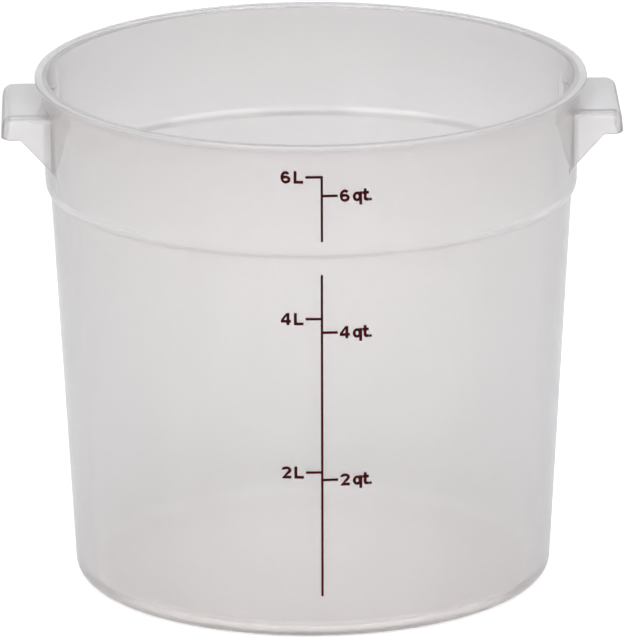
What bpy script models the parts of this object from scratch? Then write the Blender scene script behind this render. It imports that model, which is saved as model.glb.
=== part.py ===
"""Round see-through storage tub with two hollow handles and a printed volume scale.

Metres, +Z up. The origin is at the middle of the foot, on the surface that the tub stands on.
The handles reach along X, and the scale is on the wall that faces -Y.
"""

import math

import bmesh
import bpy
from mathutils import Vector

# Tub, outside. Heights count from the surface that it stands on
TUB_HEIGHT = 0.208
RIM_RADIUS = 0.111
LIP_OVERHANG = 0.0029
LIP_THICKNESS = 0.0016
LIP_EDGE_ROUND = 0.0005
COLLAR_DEPTH = 0.0434
COLLAR_DRAFT = 0.0009
SHOULDER_STEP = 0.0021
SHOULDER_DROP = 0.0040
SHOULDER_ROUND = 0.0010
WALL_DRAFT = 0.0090
BASE_ROUND = 0.0060
FOOT_WIDTH = 0.0080
FOOT_HEIGHT = 0.0008
FOOT_SLOPE_WIDTH = 0.0008

# Tub, inside
WALL_THICKNESS = 0.0021
FLOOR_THICKNESS = 0.0020
FLOOR_ROUND = 0.0050
MOUTH_BEVEL = 0.0011

# Handles: a hollow block on each side, open below
HANDLE_DROP = 0.0098
HANDLE_REACH = 0.0136
HANDLE_WIDTH = 0.0560
HANDLE_SKIRT = 0.0092
HANDLE_DRAFT = 0.0007
HANDLE_EDGE_ROUND = 0.0030
HANDLE_CORNER_ROUND = 0.0040
HANDLE_WALL = 0.0021
HANDLE_TOP_WALL = 0.0022
POCKET_ROUND = 0.0015
GUSSET_SET_BACK = 0.0078
GUSSET_DROP = 0.0106

# Printed scale: ink films that follow the wall
FILM_GAP = 0.0003
FILM_THICKNESS = 0.0002
LINE_WIDTH = 0.0009
TICK_WIDTH = 0.0009
LITRE_TICK_LENGTH = 0.0062
QUART_TICK_LENGTH = 0.0064
STROKE = 0.0009
DIGIT_HEIGHT = 0.0051
DIGIT_WIDTH = 0.0036
BIG_L_WIDTH = 0.0035
SMALL_HEIGHT = 0.0040
Q_WIDTH = 0.0035
Q_TAIL = 0.0014
T_WIDTH = 0.0024
T_HEIGHT = 0.0051
POINT_SIZE = 0.0010
BASELINE_DROP = 0.0026
LABEL_GAP = 0.0009
WORD_GAP = 0.0017
LETTER_GAP = 0.0004

# The scale's turn from the middle of the front, in degrees towards +X
SCALE_TURN_DEG = 0.9

# Heights of the marks: on the collar as shares of its depth, and on the wall as shares of its height
COLLAR_LITRE_SHARE = 0.703
COLLAR_QUART_SHARE = 0.525
COLLAR_LINE_END_SHARE = 0.089
WALL_LITRE_SHARES = {"4": 0.8458, "2": 0.4436}
WALL_QUART_SHARES = {"4": 0.8100, "2": 0.4236}
WALL_LINE_END_SHARES = (0.116, 0.960)

# Fineness of the curved surfaces, and how far cutters run past what they cut
TURNED_STEPS = 72
CORNER_STEPS = 4
GLYPH_STEPS = 20
ROUND_PROFILE = 0.5
MERGE_DISTANCE = 0.0001
CUT_OVERRUN = 0.0100

# Sizes that follow from these
SHOULDER_TOP = TUB_HEIGHT - COLLAR_DEPTH
SHOULDER_FOOT = SHOULDER_TOP - SHOULDER_DROP
LIP_UNDERSIDE = TUB_HEIGHT - LIP_THICKNESS
COLLAR_TOP_RADIUS = RIM_RADIUS - LIP_OVERHANG
COLLAR_FOOT_RADIUS = COLLAR_TOP_RADIUS - COLLAR_DRAFT
WALL_TOP_RADIUS = COLLAR_FOOT_RADIUS - SHOULDER_STEP
WALL_FOOT_RADIUS = WALL_TOP_RADIUS - WALL_DRAFT
FLOOR_LEVEL = FOOT_HEIGHT + FLOOR_THICKNESS
HANDLE_TOP = TUB_HEIGHT - HANDLE_DROP
SKIRT_FOOT = HANDLE_TOP - HANDLE_SKIRT
HANDLE_END = RIM_RADIUS + HANDLE_REACH


def between(low, high, share):
    """The value that lies this share of the way from low to high."""
    return low + (high - low) * share


def collar_radius(height):
    """Outer radius of the collar at a height."""
    return between(COLLAR_FOOT_RADIUS, COLLAR_TOP_RADIUS, (height - SHOULDER_TOP) / COLLAR_DEPTH)


def wall_radius(height):
    """Outer radius of the tapered wall at a height."""
    return between(WALL_FOOT_RADIUS, WALL_TOP_RADIUS, height / SHOULDER_FOOT)


def clear_scene():
    """Takes away whatever the scene starts with."""
    for obj in list(bpy.data.objects):
        bpy.data.objects.remove(obj, do_unlink=True)


def new_collection(name):
    collection = bpy.data.collections.new(name)
    bpy.context.scene.collection.children.link(collection)
    return collection


def new_material(name, color, roughness):
    """A Principled surface of one colour."""
    material = bpy.data.materials.new(name)
    material.use_nodes = True
    shader = material.node_tree.nodes["Principled BSDF"]
    shader.inputs["Base Color"].default_value = (*color, 1.0)
    shader.inputs["Roughness"].default_value = roughness
    shader.inputs["Metallic"].default_value = 0.0
    material.diffuse_color = (*color, 1.0)
    return material


def add_object(name, mesh, collection):
    obj = bpy.data.objects.new(name, mesh)
    collection.objects.link(obj)
    return obj


def make_guide(obj):
    """Marks an object as a cutter or a guide, which is no piece of the tub."""
    obj.hide_render = True
    obj.display_type = "WIRE"


def add_boolean(obj, operation, other):
    modifier = obj.modifiers.new(operation.lower() + "_" + other.name, "BOOLEAN")
    modifier.operation = operation
    modifier.solver = "EXACT"
    modifier.object = other


def rounded_corner(before, corner, after, radius, steps):
    """Points of the arc that touches both sides of a corner."""
    to_before = (before - corner).normalized()
    to_after = (after - corner).normalized()
    half_angle = to_before.angle(to_after) / 2
    touch = radius / math.tan(half_angle)
    centre = corner + (to_before + to_after).normalized() * radius / math.sin(half_angle)
    first = (corner + to_before * touch - centre).normalized()
    last = (corner + to_after * touch - centre).normalized()
    return [centre + first.slerp(last, step / steps) * radius for step in range(steps + 1)]


def rounded_profile(corners):
    """The (radius, height) points of an outline whose corners are (radius, height, round)."""
    places = [Vector((radius, height)) for radius, height, _ in corners]
    points = [places[0]]
    for index in range(1, len(corners) - 1):
        size = corners[index][2]
        if size:
            around = places[index - 1 : index + 2]
            points += rounded_corner(*around, size, CORNER_STEPS)
        else:
            points.append(places[index])
    return points + [places[-1]]


def turned(name, corners, collection):
    """A solid of revolution round Z, from an outline that runs down its outer side."""
    points = rounded_profile(corners)
    mesh = bpy.data.meshes.new(name)
    edges = [(index, index + 1) for index in range(len(points) - 1)]
    mesh.from_pydata([(point.x, 0, point.y) for point in points], edges, [])
    obj = add_object(name, mesh, collection)
    screw = obj.modifiers.new("turn", "SCREW")
    screw.steps = TURNED_STEPS
    screw.render_steps = TURNED_STEPS
    screw.use_merge_vertices = True
    screw.merge_threshold = MERGE_DISTANCE
    return obj


def tub_outside(collection):
    """The tub as if it were solid: foot, tapered wall, shoulder, collar and lip."""
    foot_inner_radius = WALL_FOOT_RADIUS - BASE_ROUND - FOOT_WIDTH
    corners = [
        (0, TUB_HEIGHT, 0),
        (RIM_RADIUS, TUB_HEIGHT, LIP_EDGE_ROUND),
        (RIM_RADIUS, LIP_UNDERSIDE, LIP_EDGE_ROUND),
        (collar_radius(LIP_UNDERSIDE), LIP_UNDERSIDE, LIP_EDGE_ROUND),
        (COLLAR_FOOT_RADIUS, SHOULDER_TOP, SHOULDER_ROUND),
        (WALL_TOP_RADIUS, SHOULDER_FOOT, SHOULDER_ROUND),
        (WALL_FOOT_RADIUS, 0, BASE_ROUND),
        (foot_inner_radius, 0, 0),
        (foot_inner_radius - FOOT_SLOPE_WIDTH, FOOT_HEIGHT, 0),
        (0, FOOT_HEIGHT, 0),
    ]
    return turned("tub", corners, collection)


def tub_inside(collection):
    """The hollow of the tub, which follows the outside at the wall's thickness."""
    slope = math.atan2(SHOULDER_STEP, SHOULDER_DROP)
    rise = WALL_THICKNESS * math.tan(slope / 2)
    mouth_radius = COLLAR_TOP_RADIUS - WALL_THICKNESS
    corners = [
        (0, TUB_HEIGHT + CUT_OVERRUN, 0),
        (mouth_radius + MOUTH_BEVEL, TUB_HEIGHT + CUT_OVERRUN, 0),
        (mouth_radius + MOUTH_BEVEL, TUB_HEIGHT, 0),
        (mouth_radius, TUB_HEIGHT - MOUTH_BEVEL, 0),
        (COLLAR_FOOT_RADIUS - WALL_THICKNESS, SHOULDER_TOP + rise, SHOULDER_ROUND),
        (WALL_TOP_RADIUS - WALL_THICKNESS, SHOULDER_FOOT + rise, SHOULDER_ROUND),
        (wall_radius(FLOOR_LEVEL) - WALL_THICKNESS, FLOOR_LEVEL, FLOOR_ROUND),
        (0, FLOOR_LEVEL, 0),
    ]
    hollow = turned("tub_hollow", corners, collection)
    make_guide(hollow)
    return hollow


def handle_root():
    """How far out a handle's block starts: inside the tub's wall over the handle's whole width."""
    inner = COLLAR_FOOT_RADIUS - WALL_THICKNESS
    return math.sqrt(inner**2 - (HANDLE_WIDTH / 2) ** 2) - WALL_THICKNESS


def round_edges(shell, edges, radius):
    """Rounds some edges of a bmesh."""
    bmesh.ops.bevel(
        shell,
        geom=edges,
        offset=radius,
        segments=CORNER_STEPS,
        profile=ROUND_PROFILE,
        affect="EDGES",
    )
    shell.normal_update()


def drafted_block(name, end, half_width, low, high, edge_round, corner_round, collection):
    """A block along +X that widens downwards, with round outer corners and a round top edge.

    end and half_width hold at the height of the skirt's foot.
    """
    box = bmesh.new()
    bmesh.ops.create_cube(box, size=1)
    slope = HANDLE_DRAFT / HANDLE_SKIRT
    for vert in box.verts:
        height = high if vert.co.z > 0 else low
        growth = slope * (SKIRT_FOOT - height)
        side = math.copysign(half_width + growth, vert.co.y)
        vert.co = (end + growth if vert.co.x > 0 else handle_root(), side, height)
    middle = (handle_root() + end) / 2
    uprights = [e for e in box.edges if e.verts[0].co.x > middle < e.verts[1].co.x]
    uprights = [e for e in uprights if e.verts[0].co.y * e.verts[1].co.y > 0]
    round_edges(box, uprights, corner_round)
    top = [f for f in box.faces if f.normal.z > f.normal.xy.length]
    rim = {e for f in top for e in f.edges}
    rim = [e for e in rim if max(v.co.x for v in e.verts) > middle]
    round_edges(box, rim, edge_round)
    bmesh.ops.recalc_face_normals(box, faces=box.faces)
    mesh = bpy.data.meshes.new(name)
    box.to_mesh(mesh)
    box.free()
    block = add_object(name, mesh, collection)
    make_guide(block)
    return block


def flat_mesh(name, loops, thickness):
    """A closed plate from outlines in the XY plane, centred on z 0. A loop inside another is a hole."""
    curve = bpy.data.curves.new(name, "CURVE")
    curve.dimensions = "2D"
    curve.fill_mode = "BOTH"
    curve.extrude = thickness / 2
    for loop in loops:
        spline = curve.splines.new("POLY")
        spline.points.add(len(loop) - 1)
        spline.use_cyclic_u = True
        for point, (across, up) in zip(spline.points, loop):
            point.co = (across, up, 0, 1)
    holder = bpy.data.objects.new(name, curve)
    bpy.context.scene.collection.objects.link(holder)
    graph = bpy.context.evaluated_depsgraph_get()
    mesh = bpy.data.meshes.new_from_object(holder.evaluated_get(graph))
    bpy.data.objects.remove(holder, do_unlink=True)
    mesh.name = name
    weld_share = 0.01
    shell = bmesh.new()
    shell.from_mesh(mesh)
    bmesh.ops.remove_doubles(shell, verts=shell.verts, dist=thickness * weld_share)
    bmesh.ops.recalc_face_normals(shell, faces=shell.faces)
    shell.to_mesh(mesh)
    shell.free()
    return mesh


def handle_outline(collection):
    """A handle seen from the front: straight skirt, then the slanted gusset down to the wall."""
    root = handle_root()
    gusset_start = HANDLE_END - GUSSET_SET_BACK
    gusset_end = collar_radius(SKIRT_FOOT)
    slant = GUSSET_DROP / (gusset_start - gusset_end)
    loop = [
        (root - CUT_OVERRUN, HANDLE_TOP + CUT_OVERRUN),
        (root - CUT_OVERRUN, SKIRT_FOOT - slant * (gusset_start - root + CUT_OVERRUN)),
        (gusset_start, SKIRT_FOOT),
        (HANDLE_END + CUT_OVERRUN, SKIRT_FOOT),
        (HANDLE_END + CUT_OVERRUN, HANDLE_TOP + CUT_OVERRUN),
    ]
    mesh = flat_mesh("handle_outline", [loop], HANDLE_WIDTH + CUT_OVERRUN)
    outline = add_object("handle_outline", mesh, collection)
    outline.rotation_euler = (math.pi / 2, 0, 0)
    make_guide(outline)
    return outline


def handle_pair(collection):
    """The two hollow handles, turned half a turn from each other."""
    root = handle_root()
    gusset_reach = HANDLE_END - GUSSET_SET_BACK - root
    low = SKIRT_FOOT - GUSSET_DROP - gusset_reach - CUT_OVERRUN
    block = drafted_block(
        "handle_block",
        HANDLE_END,
        HANDLE_WIDTH / 2,
        low,
        HANDLE_TOP,
        HANDLE_EDGE_ROUND,
        HANDLE_CORNER_ROUND,
        collection,
    )
    pocket = drafted_block(
        "handle_pocket",
        HANDLE_END - HANDLE_WALL,
        HANDLE_WIDTH / 2 - HANDLE_WALL,
        low - CUT_OVERRUN,
        HANDLE_TOP - HANDLE_TOP_WALL,
        POCKET_ROUND,
        POCKET_ROUND,
        collection,
    )
    add_boolean(block, "INTERSECT", handle_outline(collection))
    add_boolean(block, "DIFFERENCE", pocket)
    bpy.context.view_layer.update()
    graph = bpy.context.evaluated_depsgraph_get()
    mesh = bpy.data.meshes.new_from_object(block.evaluated_get(graph))
    pair = []
    for name, turn in (("handle_right", 0), ("handle_left", math.pi)):
        handle = add_object(name, mesh, collection)
        handle.rotation_euler.z = turn
        make_guide(handle)
        pair.append(handle)
    return pair


def make_tub(parts, cutters, plastic):
    """The one moulding: solid outside, handles joined on, then the inside cut out."""
    tub = tub_outside(parts)
    for handle in handle_pair(cutters):
        add_boolean(tub, "UNION", handle)
    add_boolean(tub, "DIFFERENCE", tub_inside(cutters))
    tub.data.materials.append(plastic)
    return tub


def arc(centre, radii, start_deg, end_deg):
    """Points along an ellipse, with their number in step with the angle."""
    steps = max(2, round(GLYPH_STEPS * abs(end_deg - start_deg) / 360))
    angles = [math.radians(between(start_deg, end_deg, step / steps)) for step in range(steps + 1)]
    return [(centre[0] + radii[0] * math.cos(a), centre[1] + radii[1] * math.sin(a)) for a in angles]


def ring_hole(centre, radii):
    return arc(centre, radii, 0, 360)[:-1]


def six():
    """A full-height curl that runs into a round bowl."""
    bowl_share = 0.64
    tip_deg, foot_deg, meet_deg, neck_deg = 42, 270, 472, 155
    curl = (DIGIT_WIDTH / 2, DIGIT_HEIGHT / 2)
    inner_curl = (curl[0] - STROKE, curl[1] - STROKE)
    bowl = (DIGIT_WIDTH / 2, DIGIT_HEIGHT * bowl_share / 2)
    outline = arc(curl, curl, tip_deg, foot_deg) + arc(bowl, bowl, foot_deg, meet_deg)[1:]
    outline += arc(curl, inner_curl, neck_deg, tip_deg)
    return [outline, ring_hole(bowl, (bowl[0] - STROKE, bowl[1] - STROKE))]


def four():
    """An upright with a crossbar, and a slanted arm that closes a triangle."""
    bar_share, stem_share, slant_share, hole_share = 0.20, 0.56, 0.30, 0.74
    low = DIGIT_HEIGHT * bar_share
    high = low + STROKE
    left = DIGIT_WIDTH * stem_share
    right = left + STROKE
    outline = [
        (left, 0),
        (right, 0),
        (right, low),
        (DIGIT_WIDTH, low),
        (DIGIT_WIDTH, high),
        (right, high),
        (right, DIGIT_HEIGHT),
        (left, DIGIT_HEIGHT),
        (0, high),
        (0, low),
        (left, low),
    ]
    triangle = [(DIGIT_WIDTH * slant_share, high), (left, high), (left, DIGIT_HEIGHT * hole_share)]
    return [outline, triangle]


def two():
    """A hooked arc, a slanted stroke and a flat foot."""
    head_share, foot_share = 0.31, 0.50
    hook_deg, slant_deg = 172, -38
    head = (DIGIT_WIDTH / 2, DIGIT_HEIGHT * (1 - head_share))
    outer = (DIGIT_WIDTH / 2, DIGIT_HEIGHT * head_share)
    inner = (outer[0] - STROKE, outer[1] - STROKE)
    outline = arc(head, outer, hook_deg, slant_deg)
    outline += [(DIGIT_WIDTH * foot_share, STROKE), (DIGIT_WIDTH, STROKE), (DIGIT_WIDTH, 0), (0, 0)]
    return [outline + arc(head, inner, slant_deg, hook_deg)]


def big_l():
    """A capital L."""
    return [
        [
            (0, 0),
            (BIG_L_WIDTH, 0),
            (BIG_L_WIDTH, STROKE),
            (STROKE, STROKE),
            (STROKE, DIGIT_HEIGHT),
            (0, DIGIT_HEIGHT),
        ]
    ]


def small_q():
    """A bowl on the left of an upright that drops below the line."""
    clear_share = 0.25
    bowl = ((Q_WIDTH - STROKE * clear_share) / 2, SMALL_HEIGHT / 2)
    stem = Q_WIDTH - STROKE
    meet = math.degrees(math.acos((stem - bowl[0]) / bowl[0]))
    outline = [(stem, -Q_TAIL), (Q_WIDTH, -Q_TAIL), (Q_WIDTH, SMALL_HEIGHT), (stem, SMALL_HEIGHT)]
    outline += arc(bowl, bowl, meet, 360 - meet)
    return [outline, ring_hole(bowl, (bowl[0] - STROKE, bowl[1] - STROKE))]


def small_t():
    """An upright with a crossbar and a foot that curls to the right."""
    stem_share = 0.20
    stem = T_WIDTH * stem_share
    curl = (T_WIDTH - stem - STROKE) / 2
    bar = SMALL_HEIGHT - STROKE
    inner_centre = (stem + STROKE + curl, STROKE + curl)
    outer_centre = (stem + STROKE, STROKE)
    outline = [(stem, T_HEIGHT), (stem, SMALL_HEIGHT), (0, SMALL_HEIGHT), (0, bar), (stem, bar)]
    outline += arc(outer_centre, (STROKE, STROKE), 180, 270)
    outline += [(T_WIDTH, 0), (T_WIDTH, STROKE)]
    outline += arc(inner_centre, (curl, curl), 270, 180)
    outline += [(stem + STROKE, bar), (T_WIDTH, bar), (T_WIDTH, SMALL_HEIGHT)]
    return [outline + [(stem + STROKE, SMALL_HEIGHT), (stem + STROKE, T_HEIGHT)]]


def point():
    return [[(0, 0), (POINT_SIZE, 0), (POINT_SIZE, POINT_SIZE), (0, POINT_SIZE)]]


DIGITS = {"6": six, "4": four, "2": two}


def print_on_wall(name, loops, across, up, radius_at, ink, collection):
    """Bends a flat outline round the wall, as an ink film with its lower left corner at (across, up).

    across is measured along the wall from the middle of the scale line.
    """
    mesh = flat_mesh(name, loops, FILM_THICKNESS)
    turn = math.radians(SCALE_TURN_DEG)
    for vert in mesh.vertices:
        height = up + vert.co.y
        angle = turn + (across + vert.co.x) / radius_at(height)
        radius = radius_at(height) + FILM_GAP + FILM_THICKNESS / 2 + vert.co.z
        vert.co = (radius * math.sin(angle), -radius * math.cos(angle), height)
    film = add_object(name, mesh, collection)
    film.data.materials.append(ink)
    return film


def line_side(side, ticks, length):
    """One side of a scale line from its foot to its head, stepping out along each tick."""
    edge = LINE_WIDTH / 2
    half = TICK_WIDTH / 2
    points = []
    for height in ticks:
        steps = [(edge, -half), (edge + length, -half), (edge + length, half), (edge, half)]
        points += [(side * across, height + rise) for across, rise in steps]
    return points


def scale_line(foot, head, litre_ticks, quart_ticks):
    """Outline of an upright line with litre ticks on its left and quart ticks on its right."""
    edge = LINE_WIDTH / 2
    right = line_side(1, quart_ticks, QUART_TICK_LENGTH)
    left = line_side(-1, litre_ticks, LITRE_TICK_LENGTH)
    left.reverse()
    outline = [(-edge, foot), (edge, foot)] + right + [(edge, head), (-edge, head)] + left
    # A tick level with the line's head repeats a corner, which is kept once
    return [list(dict.fromkeys(outline))]


def label_litres(digit, height, radius_at, ink, collection):
    """A number and an L to the left of a litre tick."""
    up = height - BASELINE_DROP
    letter = -LINE_WIDTH / 2 - LITRE_TICK_LENGTH - LABEL_GAP - BIG_L_WIDTH
    number = letter - WORD_GAP - DIGIT_WIDTH
    name = "litre_" + digit
    print_on_wall(name + "_number", DIGITS[digit](), number, up, radius_at, ink, collection)
    print_on_wall(name + "_letter_l", big_l(), letter, up, radius_at, ink, collection)


def label_quarts(digit, height, radius_at, ink, collection):
    """A number and qt. to the right of a quart tick."""
    up = height - BASELINE_DROP
    name = "quart_" + digit
    across = LINE_WIDTH / 2 + QUART_TICK_LENGTH + LABEL_GAP
    glyphs = [
        ("_number", DIGITS[digit], DIGIT_WIDTH + WORD_GAP),
        ("_letter_q", small_q, Q_WIDTH + LETTER_GAP),
        ("_letter_t", small_t, T_WIDTH + LETTER_GAP),
        ("_point", point, POINT_SIZE),
    ]
    for ending, outline, advance in glyphs:
        print_on_wall(name + ending, outline(), across, up, radius_at, ink, collection)
        across += advance


def make_collar_scale(parts, ink):
    """The 6 marks and their line, on the collar."""
    litre = between(SHOULDER_TOP, TUB_HEIGHT, COLLAR_LITRE_SHARE)
    quart = between(SHOULDER_TOP, TUB_HEIGHT, COLLAR_QUART_SHARE)
    foot = between(SHOULDER_TOP, TUB_HEIGHT, COLLAR_LINE_END_SHARE)
    outline = scale_line(foot, litre + TICK_WIDTH / 2, [litre], [quart])
    print_on_wall("upper_scale_line", outline, 0, 0, collar_radius, ink, parts)
    label_litres("6", litre, collar_radius, ink, parts)
    label_quarts("6", quart, collar_radius, ink, parts)


def make_wall_scale(parts, ink):
    """The 4 and 2 marks and their line, on the tapered wall."""
    litres = {digit: SHOULDER_FOOT * share for digit, share in WALL_LITRE_SHARES.items()}
    quarts = {digit: SHOULDER_FOOT * share for digit, share in WALL_QUART_SHARES.items()}
    foot, head = (SHOULDER_FOOT * share for share in WALL_LINE_END_SHARES)
    outline = scale_line(foot, head, sorted(litres.values()), sorted(quarts.values()))
    print_on_wall("lower_scale_line", outline, 0, 0, wall_radius, ink, parts)
    for digit, height in litres.items():
        label_litres(digit, height, wall_radius, ink, parts)
    for digit, height in quarts.items():
        label_quarts(digit, height, wall_radius, ink, parts)


def main():
    clear_scene()
    parts = new_collection("storage_container")
    cutters = new_collection("cutters")
    plastic = new_material("milky_polypropylene", (0.66, 0.66, 0.65), 0.35)
    ink = new_material("maroon_ink", (0.075, 0.008, 0.010), 0.45)
    make_tub(parts, cutters, plastic)
    make_collar_scale(parts, ink)
    make_wall_scale(parts, ink)


main()
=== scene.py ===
"""Looks of a round see-through storage tub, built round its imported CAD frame.

Metres, +Z up. The origin is at the middle of the foot, the handles reach along X, and the
printed volume scale is on the wall that faces -Y. The file is laid out as a Blender add-on:
one operator moulds the tub, one prints its scale and one sets the stage.
"""

import math
from functools import partial

import bmesh
import bpy
import numpy as np
from bpy.props import FloatProperty, FloatVectorProperty, IntProperty, PointerProperty
from bpy.types import Operator, Panel, PropertyGroup
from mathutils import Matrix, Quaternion, Vector


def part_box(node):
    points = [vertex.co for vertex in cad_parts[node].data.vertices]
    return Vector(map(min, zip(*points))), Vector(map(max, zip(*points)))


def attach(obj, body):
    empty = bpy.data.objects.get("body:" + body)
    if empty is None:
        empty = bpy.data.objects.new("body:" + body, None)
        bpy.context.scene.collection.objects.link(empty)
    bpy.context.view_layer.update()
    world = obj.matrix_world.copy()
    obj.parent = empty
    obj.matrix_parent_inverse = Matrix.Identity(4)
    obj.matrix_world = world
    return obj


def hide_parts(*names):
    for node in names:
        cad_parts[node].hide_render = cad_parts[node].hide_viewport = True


bl_info = {
    "name": "Round storage tub",
    "version": (1, 0, 0),
    "blender": (4, 5, 0),
    "location": "3D View > Sidebar > Storage tub",
    "description": "Moulds a see-through storage tub, prints its volume scale and lights it",
    "category": "Add Mesh",
}

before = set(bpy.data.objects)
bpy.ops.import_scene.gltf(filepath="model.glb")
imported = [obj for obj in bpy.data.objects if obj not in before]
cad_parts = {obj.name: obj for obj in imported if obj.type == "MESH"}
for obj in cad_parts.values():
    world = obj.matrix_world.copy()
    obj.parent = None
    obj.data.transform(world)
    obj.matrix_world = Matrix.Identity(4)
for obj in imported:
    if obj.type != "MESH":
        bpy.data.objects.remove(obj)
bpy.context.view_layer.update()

BODY = "root"

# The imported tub's highest corner gives the sizes that everything else hangs on
HANDLE_END, RIM_RADIUS, TUB_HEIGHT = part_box("tub")[1]

MILLIMETRE = 0.001
QUARTER = math.pi / 2

# Points that are closer together than this become one
WELD = 0.000002

# Faces that meet at more than this angle are shaded as a sharp edge
SHARP_ANGLE = math.radians(28)


# Settings


def setting(name, description, value, kind=FloatProperty, **options):
    """A property with its name, description and default."""
    return kind(name=name, description=description, default=value, **options)


def length(name, description, value):
    """A length, written in millimetres."""
    return setting(name, description, value * MILLIMETRE, min=0.0, precision=5, unit="LENGTH")


def angle(name, description, value):
    """An angle, written in degrees."""
    return setting(name, description, math.radians(value), unit="ROTATION")


# A share from 0 to 1, a linear RGB colour, a plain number and a whole number of steps
share = partial(setting, min=0.0, max=1.0, subtype="FACTOR")
color = partial(setting, kind=FloatVectorProperty, min=0.0, max=1.0, subtype="COLOR")
number = partial(setting, precision=3)
count = partial(setting, kind=IntProperty, min=2)


class TubShape(PropertyGroup):
    """Sizes of the turned part of the moulding."""

    height: length("Height", "From the foot to the top of the lip", TUB_HEIGHT / MILLIMETRE)
    rim_radius: length("Rim radius", "Outer radius of the lip", RIM_RADIUS / MILLIMETRE)
    lip_overhang: length("Lip overhang", "From the collar out to the lip's edge", 2.9)
    lip_thickness: length("Lip thickness", "Thickness of the lip's flat edge", 1.6)
    lip_round: length("Lip round", "Round on the lip's edges", 0.4)
    collar_depth: length("Collar depth", "Height of the wide collar", 43.4)
    collar_draft: length("Collar draft", "How much the collar narrows downwards", 0.9)
    shoulder_step: length("Shoulder step", "How far the wall steps in below the collar", 2.1)
    shoulder_drop: length("Shoulder drop", "Height of that step's slope", 4.0)
    shoulder_lead: length("Shoulder lead", "From the collar's foot down to the slope's head", 1.3)
    shoulder_tuck: length("Shoulder tuck", "From the wall's head up to the slope's foot", 0.25)
    shoulder_round: length("Shoulder round", "Round between collar and slope", 4.6)
    shoulder_nook: length("Shoulder nook", "Round between slope and wall", 0.8)
    collar_swell: length("Collar swell", "Extra thickness at the collar's foot", 0.7)
    ledge_lift: length("Ledge lift", "From the slope up to the ledge inside", 0.8)
    ledge_round: length("Ledge round", "Rounds above and below that ledge", 3.0)
    wall_draft: length("Wall draft", "How much the wall narrows downwards", 9.0)
    base_round: length("Base round", "Round between wall and foot", 6.0)
    foot_width: length("Foot width", "Width of the ring that the tub stands on", 8.0)
    foot_height: length("Foot height", "Depth of the recess inside that ring", 0.8)
    wall_thickness: length("Wall thickness", "Thickness of the wall and of the collar's top", 2.1)
    floor_thickness: length("Floor thickness", "Thickness of the tub's floor", 2.0)
    floor_round: length("Floor round", "Round between the floor and the inner wall", 5.0)
    mouth_round: length("Mouth round", "Round on the inner edge of the lip", 0.7)
    gate_radius: length("Gate radius", "Radius of the mould's small mark on the floor", 2.6)
    gate_height: length("Gate height", "Height of that mark", 0.35)
    turn_steps: count("Steps round", "Faces round the tub", 288)
    round_steps: count("Steps per round", "Faces across each rounded edge", 8)


class HandleShape(PropertyGroup):
    """Sizes of the two hollow handles."""

    drop: length("Drop", "From the lip's top down to the handle's top", 9.8)
    width: length("Width", "Width along the rim", 56.0)
    skirt: length("Skirt", "Height of the handle's outer end", 9.6)
    draft: length("Draft", "How much the skirt widens downwards", 0.7)
    edge_round: length("Edge round", "Round on the top edge", 3.8)
    corner_round: length("Corner round", "Round on the two outer corners", 5.0)
    foot_round: length("Foot round", "Round on the skirt's lower outer edge", 0.7)
    wall: length("Wall", "Thickness of the skirt", 2.1)
    top_wall: length("Top wall", "Thickness of the top face", 2.2)
    pocket_round: length("Pocket round", "Rounds of the hollow below", 1.5)
    gusset_set_back: length("Gusset set-back", "From the outer end to the start of the gusset", 7.8)
    gusset_drop: length("Gusset drop", "How far the gusset falls to the collar", 9.8)
    flare: length("Flare", "Hollow round between sides and collar", 4.0)
    side_steps: count("Steps along a side", "Faces along each straight side", 8)


class ScaleShape(PropertyGroup):
    """Sizes of the printed volume scale."""

    line_width: length("Line width", "Width of the upright lines", 0.92)
    tick_width: length("Tick width", "Height of the ticks", 1.05)
    litre_tick: length("Litre tick", "Length of the ticks on the left", 6.0)
    quart_tick: length("Quart tick", "Length of the ticks on the right", 5.8)
    stroke: length("Stroke", "Stroke width of numbers and letters", 1.16)
    digit_height: length("Number height", "Height of numbers and capital", 5.1)
    digit_width: length("Number width", "Width of the numbers", 3.95)
    capital_width: length("Capital width", "Width of the capital letter", 3.8)
    small_height: length("Small letter height", "Height of the small letters' bodies", 4.0)
    q_width: length("q width", "Width of the small q", 3.75)
    q_tail: length("q tail", "Drop of the q below the line", 1.4)
    t_width: length("t width", "Width of the small t", 2.6)
    t_height: length("t height", "Height of the small t", 5.1)
    point_size: length("Point size", "Side of the full point", 1.1)
    baseline_drop: length("Baseline drop", "From a tick's middle down to its label's baseline", 2.6)
    label_gap: length("Label gap", "Between a tick and its label", 0.8)
    word_gap: length("Word gap", "Between a number and its unit", 1.2)
    letter_gap: length("Letter gap", "Between letters", 0.1)
    corner_round: length("Corner round", "How far ink rounds off a sharp corner", 0.12)
    film_rise: length("Film rise", "How far the ink stands out from the wall", 0.05)
    film_sink: length("Film sink", "How far the ink reaches into the wall", 0.02)
    slice_width: length("Slice width", "Widest facet of a film bent round the wall", 0.7)
    turn: angle("Turn", "The scale's turn from the front, towards +X", 0.9)


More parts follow.
